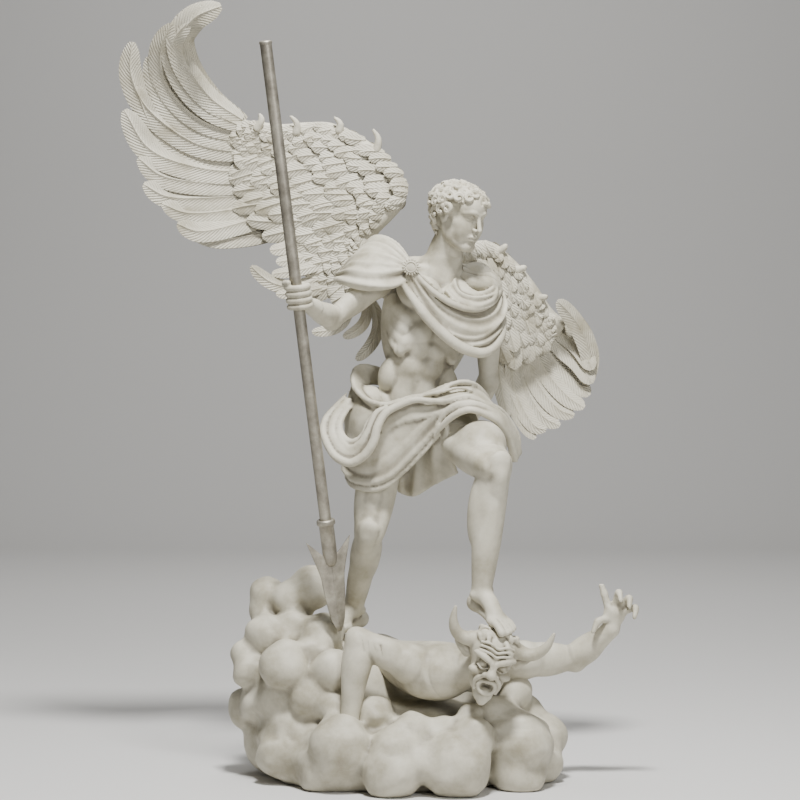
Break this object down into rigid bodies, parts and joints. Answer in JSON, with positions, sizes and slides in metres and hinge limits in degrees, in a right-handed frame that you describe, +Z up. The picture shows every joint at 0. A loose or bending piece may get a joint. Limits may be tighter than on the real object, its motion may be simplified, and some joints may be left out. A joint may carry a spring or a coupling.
{
  "type": "archangel statue",
  "caption": "Carved stone group of a winged archangel in draped cloth, standing on a horned demon and a bank of cloud, with a metal lance.",
  "frame": {"origin": "on the flat underside of the cloud base, under the middle of the group", "axes": "+Z up, -Y to the front the archangel faces, +X to the archangel's own left"},
  "size_m": [1.9817, 1.1786, 2.984],
  "materials": {
    "stone": "aged grey marble, darker in the crevices",
    "lance_metal": "dull grey-brown weathered metal"
  },
  "bodies": {
    "root": {"archangel_group": "stone", "lance_shaft": "lance_metal", "lance_head": "lance_metal"}
  },
  "joints": []
}
